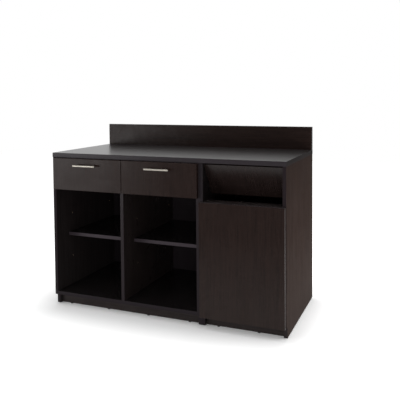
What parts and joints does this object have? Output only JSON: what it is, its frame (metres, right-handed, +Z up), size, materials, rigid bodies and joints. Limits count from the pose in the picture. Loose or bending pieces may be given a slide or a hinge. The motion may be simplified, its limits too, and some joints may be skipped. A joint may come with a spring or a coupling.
{
  "type": "kitchen base cabinet",
  "caption": "Kitchen base cabinet with side-by-side drawers over open shelved bays and, beside them, a waste compartment with a drop slot above its hinged door.",
  "frame": {"origin": "on the floor, under the centre of the bounding box", "axes": "+X to the right along the front as seen by the user, +Y to the back (the wall side), +Z up; the drawer fronts and the door face -Y"},
  "size_m": [1.374, 0.659, 1.016],
  "materials": {
    "espresso_laminate": "satin wood-grain laminate, almost black espresso brown",
    "countertop_laminate": "semi-gloss wood-grain laminate, espresso brown",
    "drawer_box_board": "satin foil-wrapped board, espresso brown",
    "brushed_nickel": "brushed nickel",
    "nickel_steel": "nickel-plated pressed steel",
    "zinc_steel": "bright zinc-plated steel",
    "black_plastic": "matt black plastic",
    "soft_rubber": "soft dark elastomer",
    "dowel_wood": "raw beech"
  },
  "bodies": {
    "cabinet": {"backsplash": "countertop_laminate", "backsplash_dowels": "dowel_wood", "countertop": "countertop_laminate", "countertop_screws": "zinc_steel", "deflector_board": "espresso_laminate", "deflector_cleats": "espresso_laminate", "divider": "espresso_laminate", "floor_glides": "black_plastic", "hinge_arm_pins": "nickel_steel", "hinge_arms": "nickel_steel", "hinge_plates": "nickel_steel", "ledge_board": "espresso_laminate", "left_back_panel": "espresso_laminate", "left_bottom_board": "espresso_laminate", "left_front_stretcher": "espresso_laminate", "left_inner_side": "espresso_laminate", "left_outer_side": "espresso_laminate", "left_rear_stretcher": "espresso_laminate", "left_shelf": "espresso_laminate", "left_slide_cabinet_members": "zinc_steel", "left_toe_kick": "espresso_laminate", "right_back_panel": "espresso_laminate", "right_bottom_board": "espresso_laminate", "right_inner_side": "espresso_laminate", "right_outer_side": "espresso_laminate", "right_rear_stretcher": "espresso_laminate", "right_shelf": "espresso_laminate", "right_slide_cabinet_members": "zinc_steel", "right_toe_kick": "espresso_laminate", "shelf_pins": "nickel_steel", "unit_bolts": "zinc_steel"},
    "left_slide_middle": {"left_slide_middle_members": "zinc_steel"},
    "right_slide_middle": {"right_slide_middle_members": "zinc_steel"},
    "left_drawer": {"left_drawer_front": "espresso_laminate", "left_drawer_floor": "drawer_box_board", "left_drawer_left_side": "drawer_box_board", "left_drawer_right_side": "drawer_box_board", "left_drawer_sub_front": "drawer_box_board", "left_drawer_back": "drawer_box_board", "left_pull_bar": "brushed_nickel", "left_pull_posts": "brushed_nickel", "left_slide_drawer_members": "zinc_steel"},
    "right_drawer": {"right_drawer_front": "espresso_laminate", "right_drawer_floor": "drawer_box_board", "right_drawer_left_side": "drawer_box_board", "right_drawer_right_side": "drawer_box_board", "right_drawer_sub_front": "drawer_box_board", "right_drawer_back": "drawer_box_board", "right_pull_bar": "brushed_nickel", "right_pull_posts": "brushed_nickel", "right_slide_drawer_members": "zinc_steel"},
    "hinge_link": {"hinge_links": "nickel_steel"},
    "door": {"door_panel": "espresso_laminate", "hinge_cups": "nickel_steel", "hinge_cup_pins": "nickel_steel", "door_bumpers": "soft_rubber"}
  },
  "joints": [
    {"name": "left_drawer_slide", "type": "slide", "parent": "cabinet", "child": "left_drawer", "axis": [0, -1, 0], "range_m": [0, 0.48]},
    {"name": "left_middle_slide", "type": "slide", "parent": "cabinet", "child": "left_slide_middle", "axis": [0, -1, 0], "range_m": [0, 0.24]},
    {"name": "right_drawer_slide", "type": "slide", "parent": "cabinet", "child": "right_drawer", "axis": [0, -1, 0], "range_m": [0, 0.48]},
    {"name": "right_middle_slide", "type": "slide", "parent": "cabinet", "child": "right_slide_middle", "axis": [0, -1, 0], "range_m": [0, 0.24]},
    {"name": "door_link_turn", "type": "hinge", "parent": "cabinet", "child": "hinge_link", "pos_m": [0.658, -0.2765, 0.155], "axis": [0, 0, 1], "range_deg": [-40.2, 0]},
    {"name": "door_swing", "type": "hinge", "parent": "hinge_link", "child": "door", "pos_m": [0.674, -0.2865, 0.155], "axis": [0, 0, 1], "range_deg": [0, 135.1]}
  ],
  "couplings": [
    {"joint": "left_middle_slide", "follows": "left_drawer_slide", "ratio": 0.5},
    {"joint": "right_middle_slide", "follows": "right_drawer_slide", "ratio": 0.5},
    {"joint": "door_link_turn", "follows": "door_swing", "ratio": -0.29687}
  ]
}
